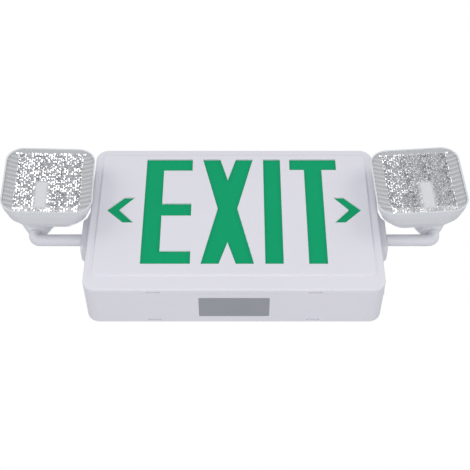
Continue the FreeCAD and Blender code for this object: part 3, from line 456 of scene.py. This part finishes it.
for outline in (letter_e, letter_x, letter_i, letter_t, chevron_left, chevron_right):
    pts = [(x * MM, z * MM) for x, z in outline]
    if area2(pts) < 0:
        pts.reverse()
    pts = [tuple(p) for p in offset_polygon(pts, CUT_GROW)]
    wide = offset_polygon(pts, CUT_LIP)
    layers = [(wide, FRONT_Y - 1 * MM), (wide, FRONT_Y)]
    layers += [(pts, FRONT_Y + CUT_LIP), (pts, FRONT_Y + 2 * SKIN)]
    add_cutter(*loft([[(p[0], y, p[1]) for p in ring] for ring, y in layers]))
WINDOW_X = 86 * MM
WINDOW_W = 14 * MM
WINDOW_H = 2.4 * MM
WINDOW_BACK = 2.3 * MM
WINDOW_REACH = 2.2 * MM
for x in (-WINDOW_X, WINDOW_X):
    for z in (cover_low.z, cover_high.z):
        corners = []
        for sx, sy in ((-1, -1), (1, -1), (1, 1), (-1, 1)):
            corners.append((x + sx * WINDOW_W / 2, SEAM_Y - WINDOW_BACK + sy * WINDOW_H / 2))
        ends = (z - WINDOW_REACH, z + WINDOW_REACH)
        add_cutter(*loft([[(px, py, end) for px, py in corners] for end in ends]))
apply_boolean(cover, raw("legend_cutter", cutter_verts, cutter_faces), "DIFFERENCE")
cover.data.materials.clear()
cover.data.materials.append(MAT["housing_plastic"])
finish_shading(cover, 25)
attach(cover, "housing")
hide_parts("front_cover")
print("stencil cover:", len(cover.data.polygons), "faces")

# %% [markdown]
# ## Bare rating plate on the underside
# Such signs carry a thin foil label underneath. It is kept bare. It could be a patch of colour on the housing,
# but a real sheet with rounded corners has an edge, and it can be left off or changed by itself.

# %%
frame_low = box_of("housing_frame")[0]
PLATE_W, PLATE_D = 76 * MM, 33.5 * MM
PLATE_R = 1.5 * MM
PLATE_Y = -27.2 * MM
PLATE_T = 0.15 * MM
PLATE_BURIED = 0.05 * MM
plate_pts = rounded(PLATE_W, PLATE_D, PLATE_R, 0.0, PLATE_Y, steps=5)
plate_rings = [[(x, y, frame_low.z - t) for x, y in plate_pts] for t in (-PLATE_BURIED, PLATE_T)]
make("rating_plate", *loft(plate_rings), MAT["foil"], "housing", "zinc_steel")

# %% [markdown]
# ## Lamp heads
# The lens is built once about the middle of the head's rim, then placed at each side by the same turn, splay and
# lean as the solids. Two hand-placed lenses could drift apart, but one mesh and a matrix for each side can't.

# %%
ARM_Y = -30 * MM
ARM_Z = -12 * MM
STUB_X = 225.5 * MM
HEAD_FORWARD = 58 * MM
HEAD_INWARD = 16.5 * MM
HEAD_MID_Z = 28.4 * MM
HEAD_LEAN = 2.3
BEND_R = 7.2 * MM
TURN = {"left": 4.4, "right": -3.4}
SPLAY = {"left": -2.4, "right": -1.4}
HEAD_SIZE = 100 * MM
HEAD_R = 20 * MM
RIM_WALL = 1.8 * MM
LENS_SINK = 0.8 * MM


def head_matrix(side):
    sign = -1 if side == "left" else 1
    stub = Vector((sign * STUB_X, ARM_Y, 0.0))
    middle = Vector((-sign * HEAD_INWARD, -HEAD_FORWARD, HEAD_MID_Z))
    turn = Matrix.Rotation(math.radians(TURN[side]), 4, "Z")
    tip = Matrix.Rotation(math.radians(-HEAD_LEAN), 4, "X")
    flip = Matrix.Scale(-1 if sign < 0 else 1, 4, Vector((1, 0, 0)))
    elbow = Matrix.Translation(Vector((sign * (STUB_X - BEND_R), ARM_Y, ARM_Z + BEND_R)))
    splay = elbow @ Matrix.Rotation(math.radians(SPLAY[side]), 4, "Y") @ elbow.inverted()
    return splay @ Matrix.Translation(stub) @ turn @ Matrix.Translation(middle) @ tip @ flip


def in_head(side, verts):
    m = head_matrix(side)
    return [m @ Vector(v) for v in verts]


# %% [markdown]
# ### Prismatic lens
# A lamp lens is clear, with rows of small prisms in the middle and sloping flutes at the sides, so the bright
# tray behind it breaks up into glints. Clear glass with real prisms renders dark, because few rays find their
# way out. Here the relief is real geometry in the face of a bright sheet, and each facet's colour is painted
# light: a painted reflection, glint or dark for what it would pick up. The pale block is a painted image of
# the lamp board, as it would show through.

# %%
BAND_W = 12 * MM
TOP_STRIP = 6 * MM
RELIEF = 1.7 * MM
GRID = 0.9 * MM
PRISM = 3
FLUTE_PITCH = 6.6 * MM
FLUTE_SLOPE = 0.35
# Where the painted image of the lamp board lies on the lens, how soft its edge is and how light it is painted;
# the prisms there are shallower.
GLARE_X, GLARE_HALF = 7 * MM, 7.2 * MM
GLARE_LOW, GLARE_TOP = -42 * MM, -2 * MM
GLARE_SOFT = 5 * MM
GLARE_PAINTED_LIGHT = 0.97
GLARE_RELIEF = 0.25
COLUMN_PITCH = 23 * MM
# Levels of painted light on the lens: the top strip, the flutes from groove to crest, the facets about their
# middle draw, and the lighter lowest row.
STRIP_PAINTED_LIGHT = 0.62
FLUTE_PAINTED_LIGHT, FLUTE_RANGE = 0.5, 0.35
FACET_PAINTED_LIGHT, FACET_MID = 0.47, 0.6
LOW_ROW, LOW_ROW_LIFT = BAND_W * 0.7, 0.3


def tooth(value, pitch):
    """A saw of straight V ridges, 1 on the crest and 0 in the groove."""
    return 1.0 - abs(2.0 * ((value / pitch) % 1.0) - 1.0)


def relief(i, j, x, z, half, uneven):
    """How deep the moulded face lies at one point of the grid."""
    if z > half - TOP_STRIP:
        return 0.0
    if abs(x) > half - BAND_W:
        return RELIEF * tooth(z - FLUTE_SLOPE * abs(x), FLUTE_PITCH)
    across, up = abs((i % PRISM) - PRISM / 2), abs((j % PRISM) - PRISM / 2)
    depth = RELIEF * (1.0 - max(across, up) / (PRISM / 2)) * uneven[i // PRISM][j // PRISM]
    if abs(x - GLARE_X) < GLARE_HALF and GLARE_LOW < z < GLARE_TOP:
        depth *= GLARE_RELIEF
    return depth


def painted_facet_reflection(x, z, half, step, draws):
    """The painted reflection on one facet: how much of the bright tray it would pick up, from 0, painted dark,
    to 1, a painted glint.
    """
    i, j = (x + half) / step, (z + half) / step
    if z > half - TOP_STRIP:
        return STRIP_PAINTED_LIGHT
    # Painted shade on the flutes: lighter on each crest and darker in each groove.
    if abs(x) > half - BAND_W:
        return FLUTE_PAINTED_LIGHT + FLUTE_RANGE * tooth(z - FLUTE_SLOPE * abs(x), FLUTE_PITCH)
    u, v = (i % PRISM) - PRISM / 2, (j % PRISM) - PRISM / 2
    side = (0 if u > 0 else 1) if abs(u) > abs(v) else (2 if v > 0 else 3)
    key = (int(i // PRISM), int(j // PRISM), side)
    # Each facet draws at random how much painted light it gets, as a clear prism picks up a different part of
    # the tray.
    if key not in draws:
        seed = key[0] * 977 + key[1] * 31 + key[2]
        draws[key] = random.Random(seed).uniform(0.2, 1.0)
    # Painted shade: columns of facets, one every COLUMN_PITCH, are painted darker and more uneven.
    column = 0.5 - 0.5 * math.cos(2 * math.pi * x / COLUMN_PITCH)
    painted_reflection = FACET_PAINTED_LIGHT + (draws[key] - FACET_MID) * (0.35 + 0.60 * column) - 0.10 * column
    # Painted light: the lowest row of prisms is painted lighter.
    if z < -half + LOW_ROW:
        painted_reflection += LOW_ROW_LIFT
    # Painted image of the lamp board, as it would show through the clear lens: a pale block with a soft edge.
    outside = max(abs(x - GLARE_X) - GLARE_HALF, GLARE_LOW - z, z - GLARE_TOP)
    block = max(0.0, min(1.0, 0.5 - outside / GLARE_SOFT))
    return max(0.0, min(1.0, painted_reflection + (GLARE_PAINTED_LIGHT - painted_reflection) * block))


def moulded_sheet(size, corner, y_front, y_back):
    """A lens with prisms and flutes in its face and a flat back, cut to a rounded outline."""
    count = int(round(size / GRID))
    step = size / count
    draw = random.Random(7)
    uneven = [[draw.uniform(0.35, 1.0) for _ in range(count)] for _ in range(count)]
    verts, faces = [], []
    for i in range(count + 1):
        for j in range(count + 1):
            x, z = -size / 2 + i * step, -size / 2 + j * step
            verts.append((x, y_front + relief(i, j, x, z, size / 2, uneven), z))
    row = count + 1
    for i in range(count):
        for j in range(count):
            a = i * row + j
            quad = (a, a + 1, a + row + 1, a + row)
            if (i + j) % 2:
                faces += [(quad[0], quad[1], quad[2]), (quad[0], quad[2], quad[3])]
            else:
                faces += [(quad[1], quad[2], quad[3]), (quad[1], quad[3], quad[0])]
    edge = [(i, 0) for i in range(count)] + [(count, j) for j in range(count)]
    edge += [(count - i, count) for i in range(count)] + [(0, count - j) for j in range(count)]
    base = len(verts)
    verts += [(-size / 2 + i * step, y_back, -size / 2 + j * step) for i, j in edge]
    n = len(edge)
    front = [i * row + j for i, j in edge]
    for k in range(n):
        m = (k + 1) % n
        faces.append((front[k], front[m], base + m, base + k))
    faces.append(tuple(base + k for k in range(n)))
    sheet = raw("moulded_sheet", verts, faces)
    pts = rounded(size - 0.02 * MM, size - 0.02 * MM, corner, steps=8)
    ends = (y_front - 1 * MM, y_back + 1 * MM)
    trim = raw("sheet_trim", *loft([[(x, y, z) for x, z in pts] for y in ends]))
    apply_boolean(sheet, trim, "INTERSECT")
    return sheet


LENS_SIZE = HEAD_SIZE - 2 * (RIM_WALL + 0.2 * MM)
LENS_THICK = 3.0 * MM
lens_source = moulded_sheet(LENS_SIZE, HEAD_R - 2 * MM, LENS_SINK, LENS_SINK + LENS_THICK)
lens_verts = [v.co.copy() for v in lens_source.data.vertices]
lens_faces = [tuple(p.vertices) for p in lens_source.data.polygons]
bpy.data.objects.remove(lens_source)

for side in ("left", "right"):
    body = "head_" + side
    placed = in_head(side, lens_verts)
    piece = make("prism_lens_" + side, placed, lens_faces, MAT["clear_cover"], body, "clear_cover", 5)
    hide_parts("lens_" + side)
    # Each facet's painted reflection, its painted glint or dark, is stored on the lens mesh for its material to
    # read.
    painted_reflections = piece.data.attributes.new("painted_reflection", "FLOAT_COLOR", "CORNER")
    half, step = LENS_SIZE / 2, LENS_SIZE / round(LENS_SIZE / GRID)
    draws = {}
    for face, poly in zip(lens_faces, piece.data.polygons):
        mid = sum((lens_verts[v] for v in face), Vector()) / len(face)
        value = painted_facet_reflection(mid.x, mid.z, half, step, draws)
        for loop in poly.loop_indices:
            painted_reflections.data[loop].color = (value, value, value, 1.0)
    print(piece.name, len(piece.data.polygons), "faces")

# %% [markdown]
# ## Stage, light and camera
# A plain white studio. The world is bright only where the camera sees it, so that it doesn't wash the object
# out, and the lamps stay low enough for white plastic not to clip. The camera looks up at the sign from below.

# %%
world = bpy.data.worlds.new("studio")
bpy.context.scene.world = world
world.use_nodes = True
wt = world.node_tree
background = wt.nodes["Background"]
background.inputs["Color"].default_value = (1.0, 1.0, 1.0, 1.0)
background.inputs["Strength"].default_value = 1.0
plain = wt.nodes.new("ShaderNodeBackground")
plain.inputs["Color"].default_value = (0.95, 0.96, 1.0, 1.0)
plain.inputs["Strength"].default_value = 0.62
rays = wt.nodes.new("ShaderNodeLightPath")
blend = wt.nodes.new("ShaderNodeMixShader")
wt.links.new(rays.outputs["Is Camera Ray"], blend.inputs[0])
wt.links.new(plain.outputs[0], blend.inputs[1])
wt.links.new(background.outputs[0], blend.inputs[2])
wt.links.new(blend.outputs[0], wt.nodes["World Output"].inputs["Surface"])

FLOOR_Z = -1.6
FLOOR_HALF = 60.0
corners = [(sx * FLOOR_HALF, sy * FLOOR_HALF, FLOOR_Z) for sx, sy in ((-1, -1), (1, -1), (1, 1), (-1, 1))]
floor = raw("floor", corners, [(0, 1, 2, 3)])
paint = Graph("floor_paint", (0.9, 0.9, 0.9), 0.8, Emission_Color=(1.0, 1.0, 1.0, 1.0))
seen = paint.node("ShaderNodeLightPath", out="Is Camera Ray")
paint.set(paint.shader, {"Emission Strength": seen * 0.42})
floor.data.materials.append(paint.mat)
floor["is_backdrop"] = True


def area_light(name, place, target, size, power):
    light = bpy.data.lights.new(name, "AREA")
    light.size = size
    light.energy = power
    obj = bpy.data.objects.new(name, light)
    obj.location = place
    obj.rotation_euler = (Vector(target) - Vector(place)).to_track_quat("-Z", "Y").to_euler()
    bpy.context.scene.collection.objects.link(obj)


# Name, place, target, size and power. The low one brightens the cover's rounded lower edge.
LAMPS = (
    ("key_left", (-1.3, -0.9, 0.5), (0, 0, 0), 0.9, 6.0),
    ("key_right", (1.3, -0.9, 0.5), (0, 0, 0), 0.9, 6.0),
    ("front_low", (0.0, -1.25, -1.15), (0, 0, 0), 0.7, 7.6),
    ("under", (0.0, -0.5, -1.4), (0, 0, -0.05), 1.2, 2.0),
    ("back", (0.0, 1.4, 0.9), (0, 0, 0), 1.2, 8.0),
)
for lamp in LAMPS:
    area_light(*lamp)

camera = bpy.data.cameras.new("camera")
camera.sensor_width = 36.0
camera.lens = 1016.5 / 470 * 36.0
cam = bpy.data.objects.new("camera", camera)
cam.location = (0.0010, -0.9224, -0.7326)
cam.rotation_euler = (math.radians(90 + 39.22), 0.0, 0.0)
bpy.context.scene.collection.objects.link(cam)
bpy.context.scene.camera = cam
bpy.context.scene.view_settings.view_transform = "Standard"

# %%
size_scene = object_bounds()


def plain_list(value):
    return [plain_list(v) for v in value] if hasattr(value, "__len__") else float(value)


{"cad": plain_list(size_cad), "scene": plain_list(size_scene)}
